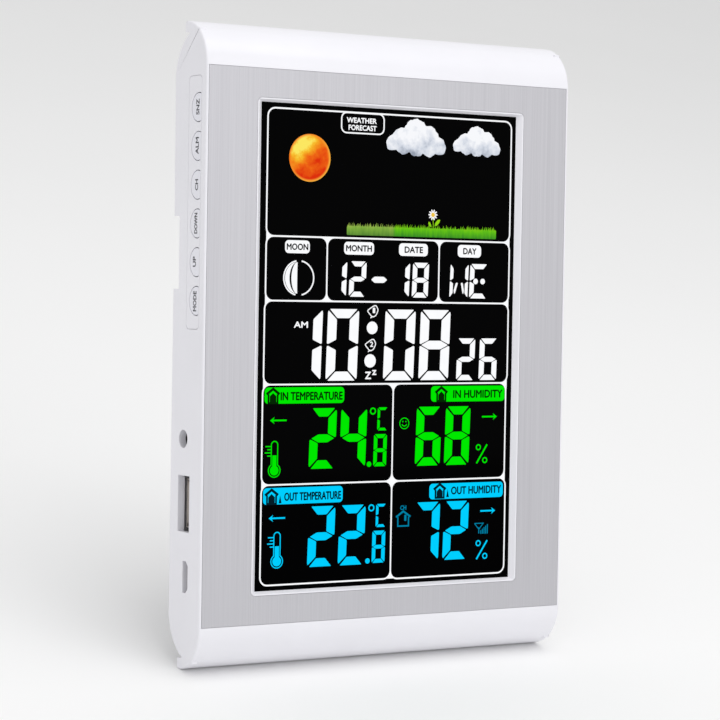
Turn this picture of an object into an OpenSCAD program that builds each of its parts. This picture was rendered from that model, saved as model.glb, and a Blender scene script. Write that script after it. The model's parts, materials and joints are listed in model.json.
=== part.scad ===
// Home weather station: a slim desk and wall unit with a tall colour display, six keys and
// three sockets on its left side, batteries in the back and a fold-out stand.
// Pieces are drawn upright: X to the right, Y to the back from the front face, Z up from
// the middle of the body. placed() then leans the whole unit back onto its stand.

/* [Body] */
// Width of the body
body_w = 117.2; // [114:0.2:150]
// Height of the body
body_h = 173.6; // [170:0.2:215]
// Depth of the side walls
side_d = 17.9; // [17:0.1:24]
// Thickness of the side walls
wall = 2.0; // [1.4:0.1:2.4]
// Thickness of the front wall and of the curled top and bottom lips
front_t = 3.0; // [2.6:0.1:3.6]
// Radius of the curled top and bottom
front_r = 12.4; // [10:0.1:14]
// Radius of the top and bottom of the back
rear_r = 13.5; // [11:0.1:15]

/* [Face plate and window] */
// Thickness of the brushed face plate
plate_t = 0.5; // [0.3:0.1:0.8]
// Shell left showing on each side of the face plate
plate_edge = 0.8; // [0.4:0.1:2]
// Width over the white window rim
rim_w = 86.1; // [76:0.1:88]
// Height over the white window rim
rim_h = 133.3; // [120:0.1:136]
// Corner radius of the window rim
rim_r = 1.3; // [0.6:0.1:3]
// Sloping border of the rim at each side
rim_side = 1.75; // [1:0.05:3]
// Sloping border of the rim at top and bottom
rim_end = 1.0; // [0.6:0.05:3]
// Depth of the display window behind the face
window_y = 1.3; // [1:0.1:1.6]

/* [Display] */
// Thickness of the clear window
lens_t = 0.9; // [0.6:0.1:1]
// Thickness of each pane of the display
pane_t = 1.1; // [0.7:0.1:1.1]
// Thickness of the light guide
guide_t = 3.0; // [2:0.1:3]
// Thickness of the circuit boards
board_t = 1.6; // [1:0.1:1.6]

/* [Keys] */
// Radius of a key
key_r = 3.73; // [3:0.01:4.5]
// Distance from key to key
key_pitch = 10.24; // [9.4:0.01:10.6]
// Height of the top key's centre above the middle
key_top = 63.4; // [62:0.1:64]
// Distance of the key centres from the face
key_y = 4.25; // [4:0.05:4.8]
// Front edge of the key strip
strip_y0 = 2.6; // [2.2:0.1:3]
// Back edge of the key strip
strip_y1 = 9.8; // [9.4:0.1:11]
// Thickness of a key
key_t = 1.2; // [0.9:0.1:1.4]
// Slot round a key
key_gap = 0.25; // [0.15:0.05:0.4]
// Angle that a key turns when it is pressed
key_turn = 6; // [3:0.5:7]

/* [Sockets] */
// Diameter of the hole for the power plug
jack_hole_d = 4.9; // [4:0.1:6]
// Height of the power socket, from the middle of the body
jack_z = -24.8; // [-26:0.1:-24]
// Distance of the power socket from the face
jack_y = 10.6; // [10.2:0.1:11]
// Height of the USB socket, from the middle of the body
usb_z = -42.15; // [-44:0.05:-41]
// Distance of the USB socket from the face
usb_y = 9.9; // [9.7:0.05:10.2]
// Height of the micro-USB socket, from the middle of the body
micro_z = -61.7; // [-63:0.1:-60]
// Distance of the micro-USB socket from the face
micro_y = 8.45; // [8.3:0.05:8.8]

/* [Back] */
// Thickness of the rear cover
cover_t = 1.8; // [1.4:0.1:2.2]
// Width of the raised back
hump_w = 92; // [84:1:94]
// Depth from the face to the raised back
hump_d = 25; // [24.8:0.1:32]
// Height of the channel across the back
channel_h = 19.6; // [18:0.2:24]
// Height of the channel's centre above the middle of the body
channel_z = 25.1; // [23:0.1:26]
// Depth of the channel in the side walls
channel_d = 3.4; // [2.6:0.1:4]
// Radius of each wall hook's entry hole
hook_r = 4.0; // [3:0.1:4.5]
// Radius of each wall hook's slot
hook_slot_r = 2.1; // [1.5:0.1:2.4]

/* [Batteries] */
// Diameter of a battery
cell_d = 10.5; // [8:0.1:10.6]
// Length of a battery
cell_l = 44.5; // [40:0.5:46]
// Thickness of the battery door
door_t = 1.5; // [1.2:0.1:2]

/* [Stand] */
// Angle that the body leans back
lean = 15; // [8:1:20]
// Angle that the stand opens from the back
stand_open = 25; // [20:1:35]
// Width of the stand
stand_w = 60; // [52:1:62]
// Width of the stand's foot
foot_w = 44; // [36:1:50]
// Diameter of the stand's hinge pin
pin_d = 2.5; // [2:0.1:3]
// Radius of the stand's rubber foot
foot_r = 2.5; // [2:0.1:3]

/* [Hidden] */
$fn = 64;

// Clearances
seam = 0.1;
run_gap = 0.05;
loose = 0.3;
over = 1;

// Body
side_x = body_w / 2;
inner_x = side_x - wall;
cover_x = inner_x - seam;
top_z = body_h / 2;
curl_z = top_z - front_r;
lip_z = top_z - front_t;
rear_cy = side_d - rear_r;
rear_cz = lip_z + 0.7 - rear_r;
lip_meet_y = rear_cy + sqrt(rear_r * rear_r - pow(lip_z - rear_cz, 2));
cover_in_y = side_d - cover_t;

// Window and display, one behind the other
rim_land = 0.35;
plate_gap = 0.1;
pane_w = rim_w + 0.5;
pane_top = rim_h / 2 + 0.8;
pane_bottom = -rim_h / 2 - 2.6;
ledge = 3.0;
glass_y = window_y + lens_t + 0.1;
guide_y = glass_y + 2 * pane_t + 0.15;
tray_wall = 1.2;
tray_floor = 1.0;
tray_y1 = guide_y + guide_t + 0.1 + tray_floor;
board_y = tray_y1 + 0.2;
board_back = board_y + board_t;
tray_x = pane_w / 2 + 0.3 + tray_wall;
tray_top = pane_top + 0.3 + tray_wall;
tray_bottom = pane_bottom - 0.3 - tray_wall;
board_w = rim_w + 2;
board_top = curl_z + 4.4;
board_screw_x = board_w / 2 - 3.4;
board_screw_z = board_top - 3.6;

// Radio board, raised on a header at the right of the main board, and the climate sensor
radio_w = 20;
radio_x1 = board_w / 2 - 4;
radio_z0 = -36;
radio_rise = 2.4;
sensor_y = 11;
sensor_z = -52;

// Cover posts end under the rounded end of the rear cover
function cover_inside(z) = rear_cy + sqrt(pow(rear_r - cover_t, 2) - pow(max(0, z - rear_cz), 2));

// Screws
screw_r = 1.1;
screw_head_r = 2.2;
screw_head_t = 1.4;
pilot_y = front_t + 1.5;
post_r = 2.8;
cover_screw_x = side_x - 6.6;
cover_screw_z = curl_z + 0.8;
cover_post_y = cover_inside(cover_screw_z + post_r) - 0.3;
sensor_x = cover_screw_x;

// Keys and their board
key_n = 6;
strip_z1 = key_top + 8.4;
strip_z0 = key_top - (key_n - 1) * key_pitch - 7.5;
strip_r = 1.4;
hinge_y = strip_y0 + 0.35;
hinge_x = -side_x + 0.25;
web_t = 0.4;
key_post_r = 1.3;
plunger_gap = 0.05;
key_post_l = 1.6;
plunger_x = -side_x + key_t + key_post_l + plunger_gap;
plunger_r = 1.0;
plunger_out = 1.0;
plunger_in = 0.6;
switch_x = plunger_x + plunger_out;
switch_t = 2.8;
switch_w = 4.6;
key_board_x = switch_x + switch_t;
key_board_t = 1.2;
press_y = key_y + 1.2;
key_board_y1 = press_y + 7;
grip_z = switch_w / 2 + 1.4;

// Sockets
socket_board_back = micro_y - 1.45;
socket_board_x0 = -inner_x + 0.3;
socket_board_x1 = -tray_x - 0.3;
socket_l = socket_board_x1 - socket_board_x0 - 0.3;
socket_post_z = [(jack_z - 4.5 + usb_z + 6.6) / 2, (usb_z - 6.6 + micro_z + 3.9) / 2];
socket_post_x = socket_board_x0 + 5.2;
lead_land = 4;
usb_shell = [13.15, 5.1];
usb_hole = [15.1, 6.6];
micro_shell = [7.5, 2.6];
micro_hole = [8.55, 3.0];

jack_bore_r = 2.1;

// Back: channel, raised back and battery bay
channel_z0 = channel_z - channel_h / 2;
channel_z1 = channel_z + channel_h / 2;
channel_y = side_d - channel_d;
hump_x = hump_w / 2;
hump_bottom = -rear_cz - 1;
bay_wall = 1.2;
cell_n = 3;
bay_x = cell_l / 2 + 4.2;
cell_pitch = cell_d + 0.7;
bay_z0 = channel_z1 + bay_wall + 2.6;
bay_z1 = bay_z0 + cell_n * cell_pitch;
hump_top = bay_z1 + bay_wall;
door_y0 = hump_d - door_t;
bay_floor = hump_d - door_t - 0.4 - cell_d - 0.1;
cell_y = bay_floor + 0.1 + cell_d / 2;
door_x = bay_x + 2.2;
rail_t = 0.9;
hook_x = (door_x + hump_x) / 2 + 0.4;
hook_z = bay_z0 + 12;
hook_slot_l = 6;
coil_r = 0.35;
spring_l = 2 * bay_x - 0.8 - cell_l;
vent_n = 7;
vent_t = 1.2;
vent_pitch = 2.8;
vent_z = -62;

// Stand
foot_y = side_d + loose + foot_r + 1.5;
pin_y = side_d + loose + 3.3;
pin_z = channel_z0 + 5.7;
barrel_r = 3.1;
leg_t = 2.4;
leg_y1 = hump_d - 0.2;
lug_x0 = 18;
lug_x1 = 22;
stop_top = pin_z + 7.5;
recess_x = stand_w / 2 + 0.6;
pin_l = stand_w;
heel_y = 0.3;
leg_shoulder = 14;

// Leaning: the lower rear edge of the bottom lip and the stand's foot both touch the table
edge_flat = 0.3;
lip_edge = [front_r, -top_z];
function lean_y(p) = (p[0] - lip_edge[0]) * cos(lean) + (p[1] - lip_edge[1]) * sin(lean);
function lean_z(p) = -(p[0] - lip_edge[0]) * sin(lean) + (p[1] - lip_edge[1]) * cos(lean);
leg_angle = stand_open - lean;
pin_up = lean_z([pin_y, pin_z]) - edge_flat;
foot_dy = foot_y - pin_y;
foot_l = (pin_up - foot_r + foot_dy * sin(leg_angle)) / cos(leg_angle);
foot_z = pin_z - foot_l;
foot_back = lean_y([pin_y, pin_z]) + foot_dy * cos(leg_angle) + foot_l * sin(leg_angle) + foot_r;
hump_back = lean_y([hump_d, hump_top]);
body_front = lean_y([front_r, -curl_z]) - front_r;
body_back = max(foot_back, hump_back);
mid_y = (body_front + body_back) / 2;

// Places the upright unit on the table, leaning back
module placed() {
    translate([0, -mid_y, -edge_flat])
    rotate([-lean, 0, 0])
    translate([0, -lip_edge[0], -lip_edge[1]])
    children();
}

// A block between two values on each axis
module block(x0, x1, y0, y1, z0, z1) {
    translate([x0, y0, z0])
    cube([x1 - x0, y1 - y0, z1 - z0]);
}

// Carries an outline drawn in Y and Z along X
module along_x(x0, x1) {
    translate([x0, 0, 0])
    rotate([90, 0, 90])
    linear_extrude(x1 - x0)
    children();
}

// Carries an outline drawn in X and Z along Y
module along_y(y0, y1) {
    translate([0, y1, 0])
    rotate([90, 0, 0])
    linear_extrude(y1 - y0)
    children();
}

// A rod along X, and a rod along Y
module rod_x(x0, x1, r, y, z) {
    translate([x0, y, z])
    rotate([0, 90, 0])
    cylinder(h = x1 - x0, r = r);
}

module rod_y(y0, y1, r, x, z) {
    translate([x, y0, z])
    rotate([-90, 0, 0])
    cylinder(h = y1 - y0, r = r);
}

// Rectangle with round corners, from corner to corner
module rounded(x0, x1, z0, z1, r) {
    translate([x0 + r, z0])
    square([x1 - x0 - 2 * r, z1 - z0]);
    translate([x0, z0 + r])
    square([x1 - x0, z1 - z0 - 2 * r]);
    for (x = [x0 + r, x1 - r], z = [z0 + r, z1 - r])
        translate([x, z])
        circle(r);
}

// A ring of points of radius r round p, square to the direction t
function ring(p, t, r, n) =
    let (u = unit(cross(t, [0.37, 0.21, 0.9])), v = cross(t, u))
    [for (k = [0:n - 1]) p + r * (cos(360 * k / n) * u + sin(360 * k / n) * v)];

function unit(v) = v / norm(v);

function bend(p, i) =
    i == 0 ? unit(p[1] - p[0]) :
    i == len(p) - 1 ? unit(p[i] - p[i - 1]) :
    unit(unit(p[i] - p[i - 1]) + unit(p[i + 1] - p[i]));

// Skins the rings in order and closes both ends
module skin(rings, n) {
    m = len(rings);
    polyhedron(
        [for (r = rings, q = r) q],
        concat(
            [[for (k = [n - 1:-1:0]) k]],
            [for (i = [0:m - 2], k = [0:n - 1])
                [i * n + k, i * n + (k + 1) % n, (i + 1) * n + k]],
            [for (i = [0:m - 2], k = [0:n - 1])
                [i * n + (k + 1) % n, (i + 1) * n + (k + 1) % n, (i + 1) * n + k]],
            [[for (k = [0:n - 1]) (m - 1) * n + k]]
        )
    );
}

// A lead that runs from point to point
module lead(points, r) {
    n = 8;
    skin([for (i = [0:len(points) - 1]) ring(points[i], bend(points, i), r, n)], n);
}

// Side outlines, drawn in Y and Z
module curl_outline(r) {
    for (s = [-1, 1])
        intersection() {
            translate([front_r, s * curl_z])
            circle(r, $fn = 128);
            translate([front_r - r, s > 0 ? curl_z : -curl_z - r])
            square([r, r]);
        }
    translate([front_r - r, -curl_z])
    square([r, 2 * curl_z]);
}

module back_outline(r) {
    for (s = [-1, 1])
        intersection() {
            translate([rear_cy, s * rear_cz])
            circle(r, $fn = 128);
            translate([rear_cy, s > 0 ? rear_cz : -rear_cz - r])
            square([r, r]);
        }
    translate([rear_cy, -rear_cz])
    square([r, 2 * rear_cz]);
}

module side_outline() {
    back_outline(rear_r);
    intersection() {
        curl_outline(front_r);
        union() {
            translate([0, -top_z])
            square([lip_meet_y, body_h]);
            for (z = [-top_z, lip_z])
                translate([0, z])
                square([front_r, front_t]);
        }
    }
}

// Outlines of the left side's openings, drawn in Y and Z
module jack_outline() {
    translate([jack_y, jack_z])
    circle(d = jack_hole_d);
}

module usb_outline() {
    translate([usb_y - usb_hole[1] / 2, usb_z - usb_hole[0] / 2])
    square([usb_hole[1], usb_hole[0]]);
}

module micro_outline(size) {
    a = size[0] / 2;
    b = size[1] / 2;
    c = size[1] * 0.4;
    translate([micro_y, micro_z])
    polygon([[b, -a], [b, a], [c - b, a], [-b, a - c], [-b, c - a], [c - b, -a]]);
}

module strip_outline(gap) {
    rounded(strip_y0 - gap, strip_y1 + gap, strip_z0 - gap, strip_z1 + gap, strip_r);
}

function key_z(i) = key_top - i * key_pitch;

// A key is a disc with its front cut straight, where it is hinged to the strip
module key_outline(i, gap) {
    intersection() {
        translate([key_y, key_z(i)])
        circle(key_r + gap);
        translate([hinge_y - (gap > 0 ? run_gap : 0), key_z(i) - 2 * key_r])
        square([3 * key_r, 4 * key_r]);
    }
}

// Outline of the raised back, drawn in Y and Z
module hump_outline(inset) {
    rounded(side_d - 9, hump_d - inset, hump_bottom + inset, hump_top - inset, 4 - inset);
}

// Turns a piece of the stand from folded to open about its pin
module opened() {
    translate([0, pin_y, pin_z])
    rotate([stand_open, 0, 0])
    translate([0, -pin_y, -pin_z])
    children();
}

// A screw post that stands in the front wall
module post(x, z, y1, r) {
    difference() {
        rod_y(front_t - 1, y1, r, x, z);
        rod_y(pilot_y, y1 + over, screw_r, x, z);
    }
}

// Cuts the openings for the plate, window, keys and sockets
module shell_openings() {
    along_y(-over, plate_t)
    difference() {
        translate([plate_edge - plate_gap - side_x, -curl_z - plate_gap])
        square([body_w - 2 * (plate_edge - plate_gap), 2 * (curl_z + plate_gap)]);
        rounded(-rim_w / 2, rim_w / 2, -rim_h / 2, rim_h / 2, rim_r);
    }
    hull() {
        x0 = rim_w / 2 - rim_land;
        z0 = rim_h / 2 - rim_land;
        x1 = rim_w / 2 - rim_side;
        z1 = rim_h / 2 - rim_end;
        block(-x0, x0, -0.02, 0, -z0, z0);
        block(-x1, x1, window_y, window_y + 0.02, -z1, z1);
    }
    block(-pane_w / 2 - 0.2, pane_w / 2 + 0.2, window_y, front_t + over,
        pane_bottom - 0.2, pane_top + 0.2);
    for (x = [-side_x - over, inner_x - over])
        block(x, x + wall + 2 * over, channel_y, side_d + over, channel_z0, channel_z1);
    along_x(-side_x - over, -inner_x)
    strip_outline(seam);
    along_x(-side_x - over, -inner_x + over) {
        jack_outline();
        usb_outline();
        micro_outline(micro_hole);
    }
}

module front_shell() {
    color("white")
    placed() {
        difference() {
            union() {
                along_x(-side_x, side_x)
                difference() {
                    curl_outline(front_r);
                    curl_outline(front_r - front_t);
                }
                for (x = [-side_x, inner_x])
                    along_x(x, x + wall)
                    side_outline();
            }
            shell_openings();
            translate([0, lip_edge[0], lip_edge[1]])
            rotate([lean, 0, 0])
            block(-side_x - over, side_x + over, -20, 20, -20, edge_flat);
        }
        for (x = [-board_screw_x, board_screw_x], z = [-board_screw_z, board_screw_z])
            post(x, z, board_y, post_r);
        for (x = [-cover_screw_x, cover_screw_x], z = [-cover_screw_z, cover_screw_z])
            post(x, z, cover_post_y, post_r);
        for (z = socket_post_z)
            post(socket_post_x, z, socket_board_back - board_t, 2.2);
        post(sensor_x, sensor_z, sensor_y, 2);
        for (z = [key_z(key_n - 1) - grip_z, key_z(0) + grip_z])
            difference() {
                block(key_board_x - 1.2, key_board_x + key_board_t + 1.2, front_t - 0.5,
                    front_t + 3, z - 1, z + 1);
                block(key_board_x, key_board_x + key_board_t, front_t + 0.9, front_t + 4,
                    z - 2, z + 2);
            }
    }
}

module face_plate() {
    color("silver")
    placed()
    along_y(0, plate_t)
    difference() {
        translate([plate_edge - side_x, -curl_z])
        square([body_w - 2 * plate_edge, 2 * curl_z]);
        rounded(-rim_w / 2 - plate_gap, rim_w / 2 + plate_gap, -rim_h / 2 - plate_gap,
            rim_h / 2 + plate_gap, rim_r + plate_gap);
    }
}

module display_window() {
    color([0.1, 0.1, 0.12, 0.4])
    placed()
    block(-pane_w / 2, pane_w / 2, window_y, window_y + lens_t, pane_bottom, pane_top);
}

module display_glass() {
    color([0.05, 0.05, 0.07])
    placed() {
        block(-pane_w / 2, pane_w / 2, glass_y, glass_y + pane_t, pane_bottom, pane_top);
        block(-pane_w / 2, pane_w / 2, glass_y + pane_t, glass_y + 2 * pane_t,
            pane_bottom + ledge, pane_top);
    }
}

module light_guide() {
    color([0.9, 0.95, 1, 0.6])
    placed()
    block(0.3 - pane_w / 2, pane_w / 2 - 0.3, guide_y, guide_y + guide_t,
        pane_bottom + ledge + 2.2, pane_top - 0.3);
}

module backlight_tray() {
    color("whitesmoke")
    placed()
    difference() {
        block(-tray_x, tray_x, front_t + 0.1, tray_y1, tray_bottom, tray_top);
        block(tray_wall - tray_x, tray_x - tray_wall, front_t - over, tray_y1 - tray_floor,
            tray_bottom + tray_wall, tray_top - tray_wall);
        block(5 - tray_x, tray_x - 5, front_t, tray_y1 + over, pane_bottom + 0.2,
            pane_bottom + ledge - 0.2);
    }
}

module backlight_strip() {
    z = pane_bottom + ledge + 0.2;
    color("ivory")
    placed() {
        block(2 - pane_w / 2, pane_w / 2 - 2, guide_y + 0.2, guide_y + guide_t - 0.2, z, z + 0.8);
        for (i = [0:9])
            translate([(i - 4.5) * (pane_w - 12) / 9, 0, 0])
            block(-1.7, 1.7, guide_y + 0.5, guide_y + guide_t - 0.5, z + 0.8, z + 1.8);
    }
}

module zebra_strip() {
    color("pink")
    placed()
    block(6 - tray_x, tray_x - 6, glass_y + pane_t, board_y, pane_bottom + 0.4,
        pane_bottom + ledge - 0.4);
}

module main_board() {
    color("darkgreen")
    placed()
    difference() {
        block(-board_w / 2, board_w / 2, board_y, board_back, -board_top, board_top);
        for (x = [-board_screw_x, board_screw_x], z = [-board_screw_z, board_screw_z])
            rod_y(board_y - over, board_back + over, screw_r + 0.2, x, z);
    }
}

module controller_chip() {
    cap_r = 8;
    cap_h = 1.8;
    ball_r = (cap_r * cap_r + cap_h * cap_h) / (2 * cap_h);
    color([0.06, 0.06, 0.07])
    placed()
    intersection() {
        translate([-12, board_back + cap_h - ball_r, -22])
        sphere(ball_r, $fn = 256);
        block(-30, 30, board_back, board_back + 4, -50, 20);
    }
}

// Small packages on the main board: centre in X and Z, width, height, thickness
board_packages = [
    [6, -22, 10, 7, 1.6], [-30, -8, 5, 4, 1.2], [-30, -30, 5, 6.2, 1.5], [10, -44, 6.2, 5, 1.5],
    [-28, -52, 3, 1.6, 0.9], [-22, -52, 3, 1.6, 0.9], [-16, -52, 3, 1.6, 0.9], [2, -6, 3, 1.6, 0.9],
    [8, -6, 3, 1.6, 0.9], [14, -6, 3, 1.6, 0.9], [-8, -40, 1.6, 3, 0.8], [-4, -40, 1.6, 3, 0.8],
    [0, -40, 1.6, 3, 0.8], [34, 4, 8, 3, 1.4], [-36, 6, 3, 8, 1.4], [-37, -38, 4, 10, 2.4]
];

module board_chips() {
    color([0.12, 0.12, 0.13])
    placed()
    for (p = board_packages)
        block(p[0] - p[2] / 2, p[0] + p[2] / 2, board_back, board_back + p[4],
            p[1] - p[3] / 2, p[1] + p[3] / 2);
}

module clock_crystal() {
    color("silver")
    placed()
    translate([-24, board_back + 1.5, -13])
    rotate([0, 90, 0])
    cylinder(h = 6.2, r = 1.5);
}

module capacitors() {
    color([0.15, 0.2, 0.35])
    placed()
    for (z = [-62, -68.5])
        rod_x(-18, -7, 2.5, board_back + 2.5, z);
}

module radio_board() {
    y = board_back + radio_rise;
    x = radio_x1 - radio_w;
    color("green")
    placed() {
        block(x, radio_x1, y, y + 1, radio_z0, radio_z0 + 24);
        block(x + 1, radio_x1 - 1, board_back, y, radio_z0 + 1, radio_z0 + 3);
        block(x + 5, x + 11, y + 1, y + 2, radio_z0 + 6, radio_z0 + 12);
        rod_y(y + 1, y + 2.2, 2, x + 15, radio_z0 + 18);
    }
}

// The aerial lead runs up beside the tray from the edge of the radio board
module antenna_wire() {
    y = board_back + radio_rise + 0.5;
    x = tray_x + 5;
    z = radio_z0 + 20;
    color("orangered")
    placed()
    lead([[radio_x1, y, z], [x, y, z], [x, y, board_top - 14.8], [x - 6, y, board_top - 8.8]], 0.5);
}

module climate_sensor() {
    color("seagreen")
    placed() {
        difference() {
            block(sensor_x - 3.4, sensor_x + 3.4, sensor_y, sensor_y + 1, sensor_z - 7, sensor_z + 4);
            rod_y(sensor_y - over, sensor_y + 2, screw_r, sensor_x, sensor_z);
        }
        block(sensor_x - 1.5, sensor_x + 1.5, sensor_y + 1, sensor_y + 2, sensor_z - 6, sensor_z - 3);
    }
}

module buzzer() {
    color([0.08, 0.08, 0.09])
    placed()
    difference() {
        rod_y(board_back, board_back + 4.4, 6, 24, -58);
        rod_y(board_back + 3, board_back + 5, 1, 24, -58);
    }
}

module key_strip() {
    color("white")
    placed() {
        difference() {
            along_x(-side_x, -inner_x)
            strip_outline(0);
            for (i = [0:key_n - 1])
                along_x(-side_x - over, -inner_x + over)
                key_outline(i, key_gap);
        }
        along_x(-inner_x, -inner_x + 0.8)
        difference() {
            rounded(front_t + 0.1, strip_y1 + 1.2, strip_z0 - 1.2, strip_z1 + 1.2, strip_r);
            rounded(front_t - over, strip_y1 - 0.8, strip_z0 + 0.8, strip_z1 - 0.8, 0.8);
        }
    }
}

// A key: a thin D with a bevelled hinge edge and a post that pushes the switch
module key(i) {
    color("white")
    placed() {
        difference() {
            along_x(-side_x, -side_x + key_t)
            key_outline(i, 0);
            translate([-side_x, hinge_y, key_z(i) - 2 * key_r])
            linear_extrude(4 * key_r)
            polygon([[web_t, -1], [web_t, 0], [key_t + 0.1, key_t - web_t + 0.1], [key_t + 0.1, -1]]);
        }
        rod_x(-side_x + key_t - 0.1, -side_x + key_t + key_post_l, key_post_r, press_y, key_z(i));
    }
}

module plunger(i) {
    color([0.85, 0.75, 0.5])
    placed()
    rod_x(plunger_x, switch_x + plunger_in, plunger_r, press_y, key_z(i));
}

module key_snooze() {
    key(0);
}

module key_alarm() {
    key(1);
}

module key_channel() {
    key(2);
}

module key_down() {
    key(3);
}

module key_up() {
    key(4);
}

module key_mode() {
    key(5);
}

module plunger_snooze() {
    plunger(0);
}

module plunger_alarm() {
    plunger(1);
}

module plunger_channel() {
    plunger(2);
}

module plunger_down() {
    plunger(3);
}

module plunger_up() {
    plunger(4);
}

module plunger_mode() {
    plunger(5);
}

module key_board() {
    color("darkgreen")
    placed()
    block(key_board_x, key_board_x + key_board_t, front_t + 0.9, key_board_y1,
        strip_z0 + 1, strip_z1 - 1);
}

module key_switches() {
    a = switch_w / 2;
    color([0.2, 0.2, 0.22])
    placed()
    for (i = [0:key_n - 1])
        difference() {
            block(switch_x, key_board_x, press_y - a, press_y + a, key_z(i) - a, key_z(i) + a);
            rod_x(switch_x - over, switch_x + 1.6, plunger_r + run_gap, press_y, key_z(i));
        }
}

module socket_board() {
    color("darkgreen")
    placed()
    difference() {
        block(socket_board_x0, socket_board_x1, socket_board_back - board_t, socket_board_back,
            micro_z - 6, jack_z + 7);
        for (z = socket_post_z)
            rod_y(0, 20, screw_r + 0.2, socket_post_x, z);
    }
}

module power_socket() {
    color([0.1, 0.1, 0.11])
    placed()
    difference() {
        block(socket_board_x0, socket_board_x0 + socket_l, socket_board_back, jack_y + 3.6,
            jack_z - 4.5, jack_z + 4.5);
        rod_x(socket_board_x0 - over, socket_board_x0 + socket_l - 1, jack_bore_r, jack_y, jack_z);
    }
}

module power_socket_pin() {
    color("silver")
    placed()
    rod_x(socket_board_x0 + 1, socket_board_x0 + socket_l - 1, 0.65, jack_y, jack_z);
}

module usb_shell() {
    a = usb_shell[0] / 2;
    b = usb_shell[1] / 2;
    x1 = socket_board_x0 + socket_l;
    color("silver")
    placed() {
        difference() {
            block(socket_board_x0, x1, usb_y - b, usb_y + b, usb_z - a, usb_z + a);
            block(socket_board_x0 - over, x1 - 0.3, usb_y - b + 0.3, usb_y + b - 0.3,
                usb_z - a + 0.3, usb_z + a - 0.3);
        }
        for (z = [usb_z - a + 0.4, usb_z + a - 1.4])
            block(x1 - 4, x1 - 2, socket_board_back, usb_y - b + 0.1, z, z + 1);
    }
}

module usb_tongue() {
    color([0.95, 0.95, 0.95])
    placed()
    block(socket_board_x0 + 1, socket_board_x0 + socket_l - 0.3, usb_y - 0.1, usb_y + 1.7,
        usb_z - 5.6, usb_z + 5.6);
}

module micro_usb_shell() {
    x1 = socket_board_x0 + 5.6;
    color("silver")
    placed() {
        difference() {
            along_x(socket_board_x0, x1)
            micro_outline(micro_shell);
            along_x(socket_board_x0 - over, x1 - 0.3)
            micro_outline(micro_shell - [0.6, 0.6]);
        }
        block(x1 - 2, x1 - 0.6, socket_board_back, micro_y - micro_shell[1] / 2 + 0.1,
            micro_z - 1, micro_z + 1);
    }
}

module micro_usb_tongue() {
    color([0.1, 0.1, 0.11])
    placed()
    block(socket_board_x0 + 0.8, socket_board_x0 + 5.3, micro_y - 0.1, micro_y + 0.5,
        micro_z - 1.9, micro_z + 1.9);
}

module socket_board_parts() {
    y = socket_board_back - board_t;
    x = (socket_board_x0 + socket_board_x1) / 2;
    x1 = socket_board_x1 - 1.3;
    color([0.16, 0.16, 0.17])
    placed() {
        block(x - 2.5, x + 2.5, y - 1.8, y, jack_z - 3, jack_z + 2);
        block(x - 3, x + 2, y - 1.2, y, usb_z - 3, usb_z + 2);
        for (z = [micro_z - 4, micro_z + 1])
            block(x1 - 1.6, x1, y - 0.9, y, z, z + 3);
    }
}

module hook_cut(s) {
    y0 = hump_d - cover_t - over;
    rod_y(y0, hump_d + over, hook_r, s * hook_x, hook_z);
    rod_y(y0, hump_d + over, hook_slot_r, s * hook_x, hook_z + hook_slot_l);
    block(s * hook_x - hook_slot_r, s * hook_x + hook_slot_r, y0, hump_d + over,
        hook_z, hook_z + hook_slot_l);
}

// Where the back is solid, hollow or open, taken in turn
module cover_shell() {
    difference() {
        union() {
            along_x(-cover_x, cover_x)
            difference() {
                back_outline(rear_r);
                difference() {
                    curl_outline(front_r + over);
                    curl_outline(front_r - front_t - seam);
                    translate([front_r + seam, -top_z])
                    square([front_r, body_h]);
                }
            }
            along_x(-hump_x, hump_x)
            hump_outline(0);
        }
        along_x(-cover_x - over, cover_x + over)
        difference() {
            back_outline(rear_r - cover_t);
            translate([0, channel_z0 - cover_t])
            square([hump_d, channel_h + 2 * cover_t]);
        }
        along_x(-cover_x - over, cover_x + over)
        translate([0, channel_z0 - cover_t - 0.01])
        square([channel_y - cover_t, channel_h + 2 * cover_t + 0.02]);
        along_x(cover_t - hump_x, hump_x - cover_t)
        difference() {
            hump_outline(cover_t);
            translate([0, channel_z0 - cover_t])
            square([hump_d, channel_h + 2 * cover_t]);
        }
    }
    block(-recess_x - cover_t, recess_x + cover_t, cover_in_y, hump_d - 1,
        hump_bottom + 1, channel_z0 - 0.5);
    block(-bay_x - bay_wall, bay_x + bay_wall, bay_floor - bay_wall, hump_d - 1,
        bay_z0 - bay_wall, bay_z1 + bay_wall - 0.5);
    for (x = [-cover_screw_x, cover_screw_x], z = [-cover_screw_z, cover_screw_z])
        intersection() {
            rod_y(cover_post_y + 0.1, side_d, post_r + 0.4, x, z);
            along_x(-cover_x, cover_x)
            back_outline(rear_r);
        }
}

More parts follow.
